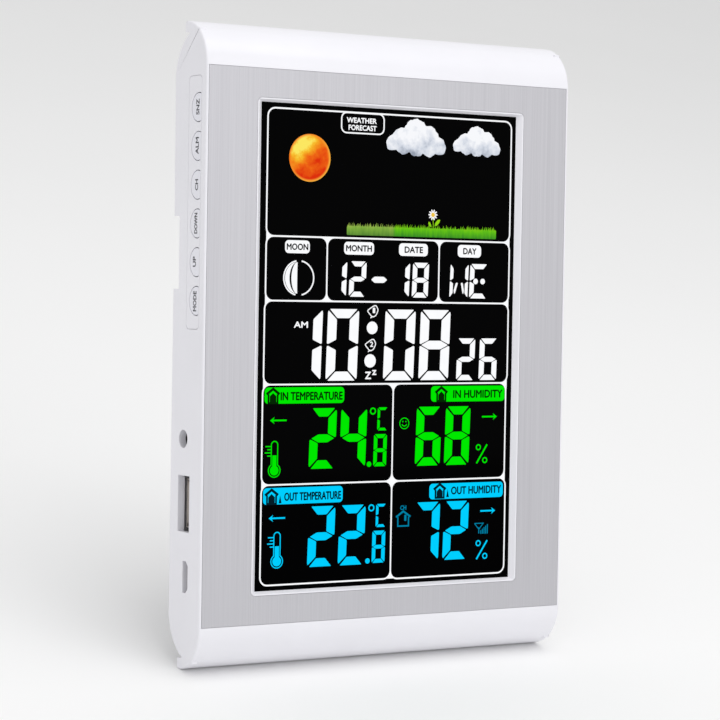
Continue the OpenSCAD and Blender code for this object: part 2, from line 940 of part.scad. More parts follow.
module rear_cover() {
    color("white")
    placed() {
        difference() {
            cover_shell();
            block(-cover_x - over, cover_x + over, channel_y, hump_d + over,
                channel_z0, channel_z1);
            block(-recess_x, recess_x, side_d, hump_d + over, -top_z, channel_z1);
            block(-bay_x, bay_x, bay_floor, hump_d + over, bay_z0, bay_z1);
            block(-door_x, door_x, door_y0, hump_d + over, bay_z0 - bay_wall, top_z);
            block(-door_x - 1, door_x + 1, door_y0, door_y0 + rail_t, bay_z0 - bay_wall, top_z);
            hook_cut(-1);
            hook_cut(1);
            for (x = [-cover_screw_x, cover_screw_x], z = [-cover_screw_z, cover_screw_z]) {
                rod_y(0, hump_d, screw_r + 0.15, x, z);
                rod_y(cover_post_y + 1.5, hump_d, screw_head_r + 0.2, x, z);
            }
            for (i = [0:vent_n - 1])
                block(hump_x + 2, cover_x - 1.6, cover_in_y - over, side_d + over,
                    vent_z + i * vent_pitch, vent_z + i * vent_pitch + vent_t);
        }
        for (s = [-1, 1]) {
            x = s > 0 ? lug_x0 : -lug_x1;
            difference() {
                union() {
                    rod_x(x, x + lug_x1 - lug_x0, barrel_r, pin_y, pin_z);
                    block(x, x + lug_x1 - lug_x0, channel_y - 0.5, pin_y,
                        pin_z - barrel_r, pin_z + barrel_r);
                }
                rod_x(x - over, x + lug_x1, pin_d / 2, pin_y, pin_z);
            }
        }
        for (x = [-13, 10])
            difference() {
                block(x, x + 3, channel_y - 0.5, pin_y + 2, pin_z + barrel_r + 0.8, stop_top);
                opened()
                block(x - over, x + 4, pin_y + heel_y - run_gap, pin_y + 12, pin_z - 6, pin_z + 20);
            }
    }
}

// A cone of coiled wire along X: r0 and r1 are its end radii
module coil(l, turns, r0, r1, wire_r, n, sides) {
    skin(
        [for (i = [0:n])
            let (t = i / n, a = 360 * turns * t, c = [0, cos(a), sin(a)])
            [for (k = [0:sides - 1])
                [l * t, 0, 0] + (r0 + (r1 - r0) * t) * c +
                wire_r * (cos(360 * k / sides) * c + sin(360 * k / sides) * [1, 0, 0])]],
        sides
    );
}

function cell_z(i) = bay_z0 + (i + 0.5) * cell_pitch;
function cell_side(i) = i % 2 == 0 ? 1 : -1;

// Each cell lies along X, its plus end against a plate and its minus end on a spring
module battery_springs() {
    color("silver")
    placed()
    for (i = [0:cell_n - 1])
        translate([0, cell_y, cell_z(i)])
        rotate([0, cell_side(i) > 0 ? 0 : 180, 0])
        translate([0.4 - bay_x + coil_r, 0, 0])
        coil(spring_l - 2 * coil_r, 4, 3.6, 2.4, coil_r, 48, 5);
}

module battery_plates() {
    color("silver")
    placed()
    for (i = [0:cell_n - 1])
        translate([0, cell_y, cell_z(i)])
        for (x = [-bay_x, bay_x - 0.4])
            block(x, x + 0.4, -4.2, 4.2, -4.6, 4.6);
}

module battery(i) {
    x1 = bay_x - 0.4;
    color([0.2, 0.25, 0.3])
    placed()
    translate([0, cell_y, cell_z(i)])
    mirror([cell_side(i) > 0 ? 0 : 1, 0, 0]) {
        rod_x(x1 - cell_l, x1 - 0.9, cell_d / 2, 0, 0);
        rod_x(x1 - 1, x1, 1.8, 0, 0);
    }
}

module battery_1() {
    battery(0);
}

module battery_2() {
    battery(1);
}

module battery_3() {
    battery(2);
}

module battery_door() {
    z0 = bay_z0 - bay_wall + 0.15;
    color("white")
    placed() {
        intersection() {
            along_x(-door_x + 0.15, door_x - 0.15)
            hump_outline(0);
            block(-door_x, door_x, door_y0 + run_gap, hump_d, z0, hump_top);
        }
        for (s = [-1, 1])
            block(s > 0 ? door_x - 0.5 : -door_x - 0.8, s > 0 ? door_x + 0.8 : 0.5 - door_x,
                door_y0 + run_gap, door_y0 + rail_t - 0.1, z0, hump_top - 4);
        for (i = [0:4])
            rod_x(-8, 8, 0.4, hump_d - 0.15, bay_z0 + 6 + 1.6 * i);
    }
}

module leg_outline(inset) {
    polygon([
        [inset - stand_w / 2, pin_z - leg_shoulder],
        [inset - foot_w / 2, foot_z + foot_r + inset],
        [foot_w / 2 - inset, foot_z + foot_r + inset],
        [stand_w / 2 - inset, pin_z - leg_shoulder],
        [stand_w / 2 - inset, pin_z - inset],
        [inset - stand_w / 2, pin_z - inset]
    ]);
}

module stand() {
    slot = lug_x1 + 0.2;
    color("white")
    placed()
    opened() {
        difference() {
            union() {
                along_y(leg_y1 - leg_t, leg_y1)
                leg_outline(0);
                along_y(side_d + loose + 0.3, leg_y1)
                difference() {
                    leg_outline(0);
                    leg_outline(2);
                }
                rod_x(-stand_w / 2, stand_w / 2, barrel_r, pin_y, pin_z);
                block(-15, 15, pin_y + heel_y, leg_y1, pin_z - 1, stop_top - 0.5);
            }
            rod_x(-stand_w, stand_w, pin_d / 2 + run_gap, pin_y, pin_z);
            for (s = [-1, 1])
                block(s > 0 ? lug_x0 - 0.2 : -slot, s > 0 ? slot : 0.2 - lug_x0, side_d - over,
                    hump_d + over, pin_z - barrel_r - 1.2, pin_z + 20);
            along_y(side_d, hump_d + over)
            rounded(-11, 11, foot_z + 26, foot_z + 52, 10.9);
        }
        block(2 - foot_w / 2, foot_w / 2 - 2, foot_y - 0.6, foot_y + 0.6, foot_z - 1,
            foot_z + foot_r + 3);
        block(-foot_w / 2, foot_w / 2, foot_y - 0.6, leg_y1, foot_z + foot_r,
            foot_z + foot_r + 2);
    }
}

module stand_pin() {
    color("silver")
    placed()
    rod_x(-pin_l / 2, pin_l / 2, pin_d / 2, pin_y, pin_z);
}

module stand_foot() {
    color([0.25, 0.25, 0.26])
    placed()
    opened()
    difference() {
        rod_x(-foot_w / 2, foot_w / 2, foot_r, foot_y, foot_z);
        block(2 - foot_w / 2, foot_w / 2 - 2, foot_y - 0.6, foot_y + 0.6, foot_z - 1,
            foot_z + foot_r + 1);
    }
}

// A pan-head screw along Y, its head's underside at y
module screw(x, y, z, l) {
    difference() {
        union() {
            rod_y(y - l, y + 0.2, screw_r, x, z);
            rod_y(y, y + screw_head_t, screw_head_r, x, z);
        }
        block(x - 1.4, x + 1.4, y + 0.7, y + 3, z - 0.3, z + 0.3);
        block(x - 0.3, x + 0.3, y + 0.7, y + 3, z - 1.4, z + 1.4);
    }
}

module cover_screws() {
    color("dimgray")
    placed()
    for (x = [-cover_screw_x, cover_screw_x], z = [-cover_screw_z, cover_screw_z])
        screw(x, cover_post_y + 1.5, z, 8);
}

module board_screws() {
    color("dimgray")
    placed() {
        for (x = [-board_screw_x, board_screw_x], z = [-board_screw_z, board_screw_z])
            screw(x, board_back, z, 5);
        screw(sensor_x, sensor_y + 1, sensor_z, 5);
    }
}

module socket_screws() {
    color("dimgray")
    placed()
    for (z = socket_post_z)
        screw(socket_post_x, socket_board_back, z, socket_board_back - pilot_y - 0.1);
}

// Leads leave each board square to it
module key_leads() {
    x0 = key_board_x + key_board_t;
    x1 = lead_land - board_w / 2;
    y0 = key_board_y1 - 1.4;
    y1 = board_back + 1.6;
    z = key_z(key_n - 1) - 3.2;
    color("gray")
    placed()
    for (i = [0:6])
        translate([0, 0, z + 1.27 * i])
        lead([[x0, y0, 0], [x0 + 1.8, y0, 0], [x0 + 3, y1, 0], [x1, y1, 0],
            [x1, board_back, 0]], 0.45);
}

module power_leads() {
    x0 = socket_board_x1 - 1.9;
    x1 = lead_land - board_w / 2;
    y = board_back + 1.5;
    color("firebrick")
    placed()
    for (i = [0, 1])
        translate([0, 0, jack_z + 5.2 + 1.1 * i])
        lead([[x0, socket_board_back, 0], [x0, y - 2, 0], [x0 + 1.6, y, 0], [x1, y, 0],
            [x1, board_back, 0]], 0.45);
}

module battery_leads() {
    x0 = bay_x + bay_wall;
    x1 = x0 + 3.2;
    z0 = bay_z0 + 6;
    z1 = channel_z1 + 2.4;
    color("firebrick")
    placed()
    for (s = [-1, 1])
        lead([[s * x0, bay_floor + 2.5, z0], [s * (x0 + 1.6), bay_floor + 2.5, z0],
            [s * (x0 + 2.8), bay_floor + 1.1, z0 - 3], [s * x1, board_back + 1.2, z1],
            [s * x1, board_back, z1]], 0.5);
}

front_shell();
face_plate();
display_window();
display_glass();
light_guide();
backlight_tray();
backlight_strip();
zebra_strip();
main_board();
controller_chip();
board_chips();
clock_crystal();
capacitors();
radio_board();
antenna_wire();
climate_sensor();
buzzer();
key_strip();
key_snooze();
key_alarm();
key_channel();
key_down();
key_up();
key_mode();
plunger_snooze();
plunger_alarm();
plunger_channel();
plunger_down();
plunger_up();
plunger_mode();
key_board();
key_switches();
socket_board();
power_socket();
power_socket_pin();
usb_shell();
usb_tongue();
micro_usb_shell();
micro_usb_tongue();
socket_board_parts();
rear_cover();
battery_springs();
battery_plates();
battery_1();
battery_2();
battery_3();
battery_door();
stand();
stand_pin();
stand_foot();
cover_screws();
board_screws();
socket_screws();
key_leads();
power_leads();
battery_leads();
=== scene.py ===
import json
import math

import bmesh
import bpy
import numpy as np
from mathutils import Matrix, Vector


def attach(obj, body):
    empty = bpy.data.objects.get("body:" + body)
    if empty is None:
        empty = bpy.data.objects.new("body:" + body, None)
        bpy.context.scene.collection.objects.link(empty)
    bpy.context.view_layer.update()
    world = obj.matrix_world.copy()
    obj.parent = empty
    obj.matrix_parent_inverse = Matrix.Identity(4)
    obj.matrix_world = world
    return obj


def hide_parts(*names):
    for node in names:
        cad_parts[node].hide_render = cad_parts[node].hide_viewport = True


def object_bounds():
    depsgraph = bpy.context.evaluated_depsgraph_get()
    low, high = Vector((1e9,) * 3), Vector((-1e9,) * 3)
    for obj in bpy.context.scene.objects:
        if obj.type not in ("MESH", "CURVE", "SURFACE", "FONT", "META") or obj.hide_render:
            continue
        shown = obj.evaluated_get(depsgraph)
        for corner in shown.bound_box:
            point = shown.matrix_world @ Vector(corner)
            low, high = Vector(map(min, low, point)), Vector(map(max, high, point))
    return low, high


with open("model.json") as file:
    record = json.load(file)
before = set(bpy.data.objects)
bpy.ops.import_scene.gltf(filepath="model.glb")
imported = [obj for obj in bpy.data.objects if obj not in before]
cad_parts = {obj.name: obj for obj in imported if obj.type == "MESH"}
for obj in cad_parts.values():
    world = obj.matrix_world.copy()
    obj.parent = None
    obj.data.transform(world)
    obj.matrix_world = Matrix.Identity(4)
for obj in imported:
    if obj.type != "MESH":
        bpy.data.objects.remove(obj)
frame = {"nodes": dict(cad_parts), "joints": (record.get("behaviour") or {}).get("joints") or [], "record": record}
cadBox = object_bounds()
print("frame loaded")

mm = 0.001


def coords(obj):
    flat = np.zeros(len(obj.data.vertices) * 3)
    obj.data.vertices.foreach_get("co", flat)
    return flat.reshape(-1, 3)


# The unit leans back: x runs right, y into the body from its face, z up the face from its middle, in mm.
doorJoint = next(j for j in frame["joints"] if j["name"] == "battery_door_slide")
upward = np.array(doorJoint["axis"]) / np.linalg.norm(doorJoint["axis"])
backward = np.array([0.0, upward[2], -upward[1]])
rightward = np.array([1.0, 0.0, 0.0])
plateCo = coords(frame["nodes"]["face_plate"])
plateUp = plateCo @ upward
home = backward * (plateCo @ backward).min() + upward * (plateUp.min() + plateUp.max()) / 2


def place(x, y, z):
    x, y, z = np.broadcast_arrays(x, y, z)
    return home + mm * (x[..., None] * rightward + y[..., None] * backward + z[..., None] * upward)


def unplace(points):
    away = (points - home) / mm
    return away @ rightward, away @ backward, away @ upward


class Val:
    def __init__(self, look, socket):
        self.look = look
        self.socket = socket

    def do(self, operation, a, b):
        return self.look.node("ShaderNodeMath", {"operation": operation}, {0: a, 1: b})

    def __add__(self, other):
        return self.do("ADD", self, other)

    def __radd__(self, other):
        return self.do("ADD", other, self)

    def __sub__(self, other):
        return self.do("SUBTRACT", self, other)

    def __rsub__(self, other):
        return self.do("SUBTRACT", other, self)

    def __mul__(self, other):
        return self.do("MULTIPLY", self, other)

    def __rmul__(self, other):
        return self.do("MULTIPLY", other, self)

    def __truediv__(self, other):
        return self.do("DIVIDE", self, other)

    def __rtruediv__(self, other):
        return self.do("DIVIDE", other, self)

    def __pow__(self, other):
        return self.do("POWER", self, other)


class Look:
    def __init__(self, name, **constants):
        self.material = bpy.data.materials.new(name)
        self.material.use_nodes = True
        self.tree = self.material.node_tree
        self.tree.nodes.clear()
        output = self.tree.nodes.new("ShaderNodeOutputMaterial")
        self.shader = self.tree.nodes.new("ShaderNodeBsdfPrincipled")
        self.tree.links.new(self.shader.outputs[0], output.inputs[0])
        for key, value in constants.items():
            self.shader.inputs[key.replace("_", " ")].default_value = value

    def node(self, kind, settings=None, values=None, out=0):
        made = self.tree.nodes.new(kind)
        for key, value in (settings or {}).items():
            setattr(made, key, value)
        for key, value in (values or {}).items():
            if isinstance(value, Val):
                self.tree.links.new(value.socket, made.inputs[key])
            else:
                made.inputs[key].default_value = value
        return Val(self, made.outputs[out])

    def feed(self, key, value):
        self.tree.links.new(value.socket, self.shader.inputs[key])

    def spot(self):
        return self.node("ShaderNodeTexCoord", out="Object")

    def along(self, direction, start=0.0):
        # distance in mm along a direction of the leaning body, counted from start
        dot = self.node("ShaderNodeVectorMath", {"operation": "DOT_PRODUCT"},
                        {0: self.spot(), 1: tuple(direction)}, out="Value")
        return (dot - float(home @ direction)) * (1 / mm) - start

    def noise(self, scale, detail=3.0, rough=0.5, where=None):
        return self.node("ShaderNodeTexNoise", None,
                         {"Vector": where or self.spot(), "Scale": scale,
                          "Detail": detail, "Roughness": rough})

    def ramp(self, factor, stops):
        made = self.node("ShaderNodeValToRGB", None, {0: factor})
        ramp = made.socket.node.color_ramp
        while len(ramp.elements) < len(stops):
            ramp.elements.new(0.5)
        for element, (at, color) in zip(ramp.elements, stops):
            element.position = at
            element.color = (*color, 1.0)
        return made

    def mix(self, factor, a, b):
        return self.node("ShaderNodeMix", {"data_type": "RGBA"}, {0: factor, 6: a, 7: b}, out=2)

    def bump(self, height, strength, depth):
        self.feed("Normal", self.node("ShaderNodeBump", None,
                                      {"Height": height, "Strength": strength, "Distance": depth}))


def shade(color, share):
    return tuple(c * share for c in color[:3]) + (1.0,)


# color, roughness, metallic, coat, size of the grain in mm, strength and depth of the grain in mm
finishes = {
    "white_shell": ((0.83, 0.825, 0.87), 0.34, 0.0, 0.15, 0.5, 0.08, 0.01),
    "white_cover": ((0.80, 0.80, 0.82), 0.48, 0.0, 0.0, 0.35, 0.25, 0.02),
    "white_key": ((0.81, 0.81, 0.87), 0.36, 0.0, 0.1, 0.5, 0.08, 0.01),
    "key_print": ((0.03, 0.03, 0.04), 0.5, 0.0, 0.0, 0.3, 0.1, 0.01),
    "tinted_window": ((0.0003, 0.0003, 0.0004), 0.06, 0.0, 0.0, 4.0, 0.02, 0.01),
    "display_black": ((0.004, 0.004, 0.005), 0.12, 0.0, 0.0, 4.0, 0.02, 0.01),
    "clear_acrylic": ((0.75, 0.8, 0.82), 0.1, 0.0, 0.2, 3.0, 0.02, 0.01),
    "tray_white": ((0.8, 0.8, 0.8), 0.5, 0.0, 0.0, 0.6, 0.1, 0.01),
    "led_strip": ((0.72, 0.68, 0.5), 0.45, 0.0, 0.0, 1.5, 0.1, 0.01),
    "pink_rubber": ((0.5, 0.18, 0.22), 0.65, 0.0, 0.0, 0.4, 0.2, 0.02),
    "board_green": ((0.012, 0.09, 0.03), 0.35, 0.0, 0.3, 1.2, 0.1, 0.01),
    "epoxy_black": ((0.012, 0.012, 0.012), 0.2, 0.0, 0.3, 1.0, 0.1, 0.02),
    "chip_black": ((0.02, 0.02, 0.022), 0.55, 0.0, 0.0, 0.3, 0.2, 0.01),
    "socket_black": ((0.012, 0.012, 0.013), 0.5, 0.0, 0.0, 0.3, 0.2, 0.01),
    "bright_metal": ((0.60, 0.55, 0.50), 0.32, 1.0, 0.0, 1.0, 0.05, 0.01),
    "sleeve_blue": ((0.02, 0.03, 0.14), 0.25, 0.0, 0.3, 1.0, 0.05, 0.01),
    "lead_red": ((0.45, 0.02, 0.015), 0.4, 0.0, 0.0, 1.0, 0.05, 0.01),
    "lead_grey": ((0.2, 0.2, 0.21), 0.4, 0.0, 0.0, 1.0, 0.05, 0.01),
    "plunger_cream": ((0.7, 0.6, 0.35), 0.5, 0.0, 0.0, 0.5, 0.05, 0.01),
    "spring_steel": ((0.62, 0.62, 0.6), 0.25, 1.0, 0.0, 0.6, 0.05, 0.01),
    "battery_label": ((0.02, 0.03, 0.05), 0.3, 0.2, 0.4, 1.0, 0.05, 0.01),
    "pin_steel": ((0.5, 0.5, 0.5), 0.3, 1.0, 0.0, 0.5, 0.1, 0.01),
    "screw_steel": ((0.25, 0.25, 0.26), 0.35, 1.0, 0.0, 0.5, 0.1, 0.01),
    "foot_rubber": ((0.02, 0.02, 0.021), 0.7, 0.0, 0.0, 0.4, 0.3, 0.02),
}


def finish(slotName):
    color, rough, metal, coat, grain, strength, depth = finishes[slotName]
    look = Look(slotName, Metallic=metal, Coat_Weight=coat)
    if slotName in ("tinted_window", "display_black"):
        look.shader.inputs["Specular IOR Level"].default_value = 0.01
    broad = look.noise(60.0, 2.0)
    fine = look.noise(1 / (grain * mm), 3.0)
    look.feed("Base Color", look.mix(broad, shade(color, 0.97), shade(color, 1.03)))
    look.feed("Roughness", rough * (0.9 + 0.2 * fine))
    look.bump(fine, strength, depth * mm)
    return look.material


def brushedPlate():
    # upright brush lines: noise that is fine across the plate and long along it
    look = Look("brushed_plate", Metallic=0.75, Coat_Weight=0.1)
    lines = []
    for across, length in ((3400.0, 16.0), (1500.0, 6.0)):
        turned = look.node("ShaderNodeMapping", {"vector_type": "POINT"},
                           {"Vector": look.spot(), "Rotation": (math.asin(upward[1]), 0.0, 0.0),
                            "Scale": (across, 30.0, length)})
        lines.append(look.noise(1.0, 3.0, 0.6, turned))
    both = 0.75 * lines[0] + 0.25 * lines[1]
    look.feed("Base Color", look.ramp(both, ((0.25, (0.46, 0.455, 0.485)), (0.75, (0.575, 0.57, 0.60)))))
    look.feed("Roughness", 0.34 + 0.2 * both)
    look.bump(both, 0.25, 0.02 * mm)
    return look.material


materials = {name: finish(name) for name in finishes}
materials["brushed_plate"] = brushedPlate()
print("finishes made")

nodeSlots = {s["node"]: s["material_slot"] for s in frame["record"]["subparts"]}
nodeBodies = {n: b for b, members in frame["record"]["behaviour"]["bodies"].items() for n in members}
for name, obj in frame["nodes"].items():
    obj.data.materials.clear()
    obj.data.materials.append(materials[nodeSlots[name]])

# The outer edges of the moulded parts get a small round, as in moulding. The CAD copy is merged first.
rounds = {
    "front_shell": {"width": 0.45, "segments": 3},
    "rear_cover": {"width": 0.5, "segments": 3},
    "battery_door": {"width": 0.4, "segments": 2},
    "stand": {"width": 0.5, "segments": 3},
}
# sizes of the casing in mm, which pick the edges to round
casing = {"halfWidth": 58.6, "sideDepth": 17.9, "top": 86.8, "curl": 12.4,
          "backDepth": 24.9, "backHalf": 45.0, "doorHalf": 20.0, "near": 0.05}


def onOutline(node, x, y, z):
    # True for the points on the outer outline of the node's side faces
    near = casing["near"]
    if node == "front_shell":
        straight = casing["top"] - casing["curl"]
        reach = np.hypot(y - casing["curl"], np.abs(z) - straight)
        curled = (np.abs(z) > straight) & (reach > casing["curl"] - near)
        edge = (y < near) | curled | (y > casing["sideDepth"] - near)
        return edge & (np.abs(x) > casing["halfWidth"] - near)
    if node == "rear_cover":
        return (y > casing["backDepth"]) & (np.abs(x) > casing["backHalf"])
    if node == "battery_door":
        return np.abs(x) > casing["doorHalf"]
    return np.ones(len(x), bool)


sharpFrom = {"round": 0.6, "shade": math.radians(28)}  # an edge that bends more is rounded, or shaded sharp


def moulded(node, width, segments):
    source = frame["nodes"][node]
    mesh = source.data.copy()
    bm = bmesh.new()
    bm.from_mesh(mesh)
    bmesh.ops.remove_doubles(bm, verts=bm.verts, dist=2e-6)
    bmesh.ops.dissolve_limit(bm, angle_limit=math.radians(0.4), verts=bm.verts, edges=bm.edges)
    weight = bm.edges.layers.float.new("bevel_weight_edge")
    co = np.array([v.co for v in bm.verts])
    outer = onOutline(node, *unplace(co))
    for edge in bm.edges:
        both = outer[edge.verts[0].index] and outer[edge.verts[1].index]
        bent = len(edge.link_faces) == 2 and edge.calc_face_angle(0.0) > sharpFrom["round"]
        if both and bent and edge.is_convex:
            edge[weight] = 1.0
    bm.to_mesh(mesh)
    bm.free()
    if "custom_normal" in mesh.attributes:
        mesh.attributes.remove(mesh.attributes["custom_normal"])
    mesh.shade_smooth()
    mesh.set_sharp_from_angle(angle=sharpFrom["shade"])
    piece = bpy.data.objects.new(node.title().replace("_", "") + "Look", mesh)
    bpy.context.scene.collection.objects.link(piece)
    bevel = piece.modifiers.new("edgeRound", "BEVEL")
    bevel.limit_method = "WEIGHT"
    bevel.width = width * mm
    bevel.segments = segments
    bevel.use_clamp_overlap = False
    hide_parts(node)
    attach(piece, nodeBodies[node])
    return piece


for name, sizes in rounds.items():
    moulded(name, **sizes)
print("moulded parts made")


class Piece:
    def __init__(self, name, material, slotName, toPlace, outward):
        self.name = name
        self.material = material
        self.slotName = slotName
        self.toPlace = toPlace
        self.outward = outward
        self.points = []
        self.faces = []
        self.count = 0

    def grid(self, u, v, wrap=False):
        u, v = np.broadcast_arrays(u, v)
        rows, cols = u.shape
        i, j = np.meshgrid(np.arange(rows - 1), np.arange(cols if wrap else cols - 1), indexing="ij")
        k = (j + 1) % cols
        quads = np.stack([i * cols + j, i * cols + k, (i + 1) * cols + k, (i + 1) * cols + j], -1)
        self.faces += (quads.reshape(-1, 4) + self.count).tolist()
        self.points.append(self.toPlace(u.ravel(), v.ravel()))
        self.count += u.size

    def fill(self, u, v):
        # a filled outline: point(s, t) = middle + s x (outline(t) - middle), s from 0 to 1
        s = np.linspace(0, 1, 2)[:, None]
        self.grid(np.mean(u) + s * (u - np.mean(u)), np.mean(v) + s * (v - np.mean(v)), wrap=True)

    def ribbon(self, u, v, width, closed=False):
        # a stroke: point(t, s) = path(t) + s x width x normal(t), widened at corners, s from -1/2 to 1/2
        path = np.stack([u, v], -1).astype(float)
        step = np.roll(path, -1, 0) - path
        if not closed:
            step[-1] = step[-2]
        step /= np.linalg.norm(step, axis=1, keepdims=True)
        before = np.roll(step, 1, 0)
        if not closed:
            before[0] = step[0]
        normal = np.stack([-(step + before)[:, 1], (step + before)[:, 0]], -1)
        normal /= np.linalg.norm(normal, axis=1, keepdims=True)
        corner = np.sum(normal * np.stack([-step[:, 1], step[:, 0]], -1), axis=1)
        normal /= np.maximum(corner, 0.4)[:, None]
        s = np.array([-0.5, 0.5])[:, None, None]
        lines = path[None] + s * width * normal[None]
        self.grid(lines[..., 0], lines[..., 1], wrap=closed)

    def text(self, body, u, v, width, height, weight=0.0):
        # built-in lettering scaled to a box round (u, v), laid four times side by side to make it bold
        curve = bpy.data.curves.new(self.name, "FONT")
        curve.body = body
        curve.resolution_u = 3
        holder = bpy.data.objects.new(self.name, curve)
        bpy.context.scene.collection.objects.link(holder)
        shape = bpy.data.meshes.new_from_object(holder.evaluated_get(bpy.context.evaluated_depsgraph_get()))
        co = np.array([p.co for p in shape.vertices])
        low, high = co.min(0), co.max(0)
        y = v + ((co[:, 1] - low[1]) / (high[1] - low[1]) - 0.5) * (height - weight)
        for copy, (shift, rise) in enumerate(((-0.5, 0.0), (0.0, 0.5), (0.5, 0.0), (0.0, -0.5))):
            x = u + ((co[:, 0] - low[0]) / (high[0] - low[0]) - 0.5) * (width - weight) + shift * weight
            self.faces += [[i + self.count for i in f.vertices] for f in shape.polygons]
            self.points.append(self.toPlace(x, y + rise * weight, 0.002 * copy))
            self.count += len(x)
        bpy.data.objects.remove(holder)
        bpy.data.curves.remove(curve)
        bpy.data.meshes.remove(shape)

    def done(self, body="housing"):
        co = np.concatenate(self.points)
        mesh = bpy.data.meshes.new(self.name)
        mesh.from_pydata(co.tolist(), [], self.faces)
        bm = bmesh.new()
        bm.from_mesh(mesh)
        bmesh.ops.remove_doubles(bm, verts=bm.verts, dist=1e-7)
        bmesh.ops.dissolve_degenerate(bm, dist=1e-8, edges=bm.edges)
        bm.normal_update()
        for face in bm.faces:
            if np.dot(np.array(face.normal), self.outward) < 0:
                face.normal_flip()
        bm.to_mesh(mesh)
        bm.free()
        mesh.materials.append(self.material)
        piece = bpy.data.objects.new(self.name, mesh)
        bpy.context.scene.collection.objects.link(piece)
        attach(piece, body)
        return piece


windowY = 1.3
layerGap = 0.02


def onDisplay(layer):
    return lambda u, v, lift=0.0: place(u, windowY - layerGap * layer - lift, v)


def onLeft(proud):
    return lambda u, v, lift=0.0: place(-casing["halfWidth"] - proud - lift, v, u)


def roundBox(left, right, low, high, radius, steps=6):
    # four quarter circles joined: corner centre + radius x (cos, sin)
    angle = np.linspace(0, math.pi / 2, steps)
    u, v = [], []
    for turn, (cu, cv) in enumerate(((right - radius, high - radius), (left + radius, high - radius),
                                     (left + radius, low + radius), (right - radius, low + radius))):
        u.append(cu + radius * np.cos(angle + turn * math.pi / 2))
        v.append(cv + radius * np.sin(angle + turn * math.pi / 2))
    return np.concatenate(u), np.concatenate(v)


def arc(cu, cv, radius, start=0.0, end=360.0, steps=25):
    angle = np.radians(np.linspace(start, end, steps))
    return cu + radius * np.cos(angle), cv + radius * np.sin(angle)


def circle(cu, cv, radius, steps=24):
    u, v = arc(cu, cv, radius, 0, 360, steps + 1)
    return u[:-1], v[:-1]


def soften(points, radius):
    # each corner becomes a quadratic curve that starts and ends radius away from it
    p = np.array(points, float)
    t = np.linspace(0, 1, 4)[:, None]
    rows = []
    for before, corner, after in zip(np.roll(p, 1, 0), p, np.roll(p, -1, 0)):
        a, b = before - corner, after - corner
        a = corner + a * min(radius / np.linalg.norm(a), 0.45)
        b = corner + b * min(radius / np.linalg.norm(b), 0.45)
        rows.append((1 - t) ** 2 * a + 2 * t * (1 - t) * corner + t ** 2 * b)
    rows = np.concatenate(rows)
    return rows[:, 0], rows[:, 1]


def picture(name, color, strength=1.0):
    # a lit look whose colour comes from color(look)
    look = Look(name, Base_Color=(0.0, 0.0, 0.0, 1.0), Roughness=0.5, Specular_IOR_Level=0.0,
                Emission_Strength=strength)
    look.feed("Emission Color", color(look))
    return look.material


def glow(name, color, strength=1.0, variation=0.04):
    def tone(look):
        return look.mix(look.noise(400.0, 2.0), shade(color, 1 - variation), shade(color, 1 + variation))

    return picture(name, tone, strength)


whiteGlow = glow("display_white", (0.97, 0.98, 1.0))
greenGlow = glow("display_green", (0.0, 0.80, 0.0))
cyanGlow = glow("display_cyan", (0.0, 0.62, 1.0))
dimCyanGlow = glow("display_cyan_dim", (0.0, 0.22, 0.38))
blackInk = glow("display_ink", (0.0, 0.0, 0.0), 0.0)
greenInk = glow("display_ink_green", (0.001, 0.02, 0.001))
cyanInk = glow("display_ink_cyan", (0.001, 0.012, 0.02))


def displayPiece(name, material, slotName, layer=2):
    return Piece(name, material, slotName, onDisplay(layer), -backward)


# Seven-segment digits: a top, b and c right, d bottom, e and f left, g middle
segmentsOf = {
    "0": "abcdef", "1": "bc", "l": "ef", "2": "abged", "4": "fgbc", "6": "afgedc",
    "7": "abc", "8": "abcdefg", "C": "afed", "E": "afed",
}


def digit(piece, shape, left, low, width, height, stroke, bar, gap=0.45, slant=0.028, radius=0.3):
    w, h, m = width, height, height / 2
    g, v, b = gap, stroke, bar
    k = g * 0.85
    outline = {
        "a": [(g * 1.3, h), (w - g * 1.3, h), (w - v - k * 0.3, h - b), (v + k * 0.3, h - b)],
        "b": [(w - g * 0.4, h - g * 0.9), (w, h - g * 2.2), (w, m + g * 0.9), (w - g * 0.7, m + g * 0.55),
              (w - v, m + b / 2 + k * 0.4), (w - v, h - b - k)],
        "g": [(g * 1.1, m), (v + k * 0.2, m + b / 2 - g * 0.1), (w - v - k * 0.2, m + b / 2 - g * 0.1),
              (w - g * 1.1, m), (w - v - k * 0.2, m - b / 2 + g * 0.1), (v + k * 0.2, m - b / 2 + g * 0.1)],
    }
    outline["f"] = [(w - x, y) for x, y in outline["b"]]
    outline["c"] = [(x, h - y) for x, y in outline["b"]]
    outline["e"] = [(w - x, h - y) for x, y in outline["b"]]
    outline["d"] = [(x, h - y) for x, y in outline["a"]]
    for name in segmentsOf[shape]:
        u, z = soften(outline[name], radius)
        piece.fill(left + u + slant * (z - h / 2), low + z)


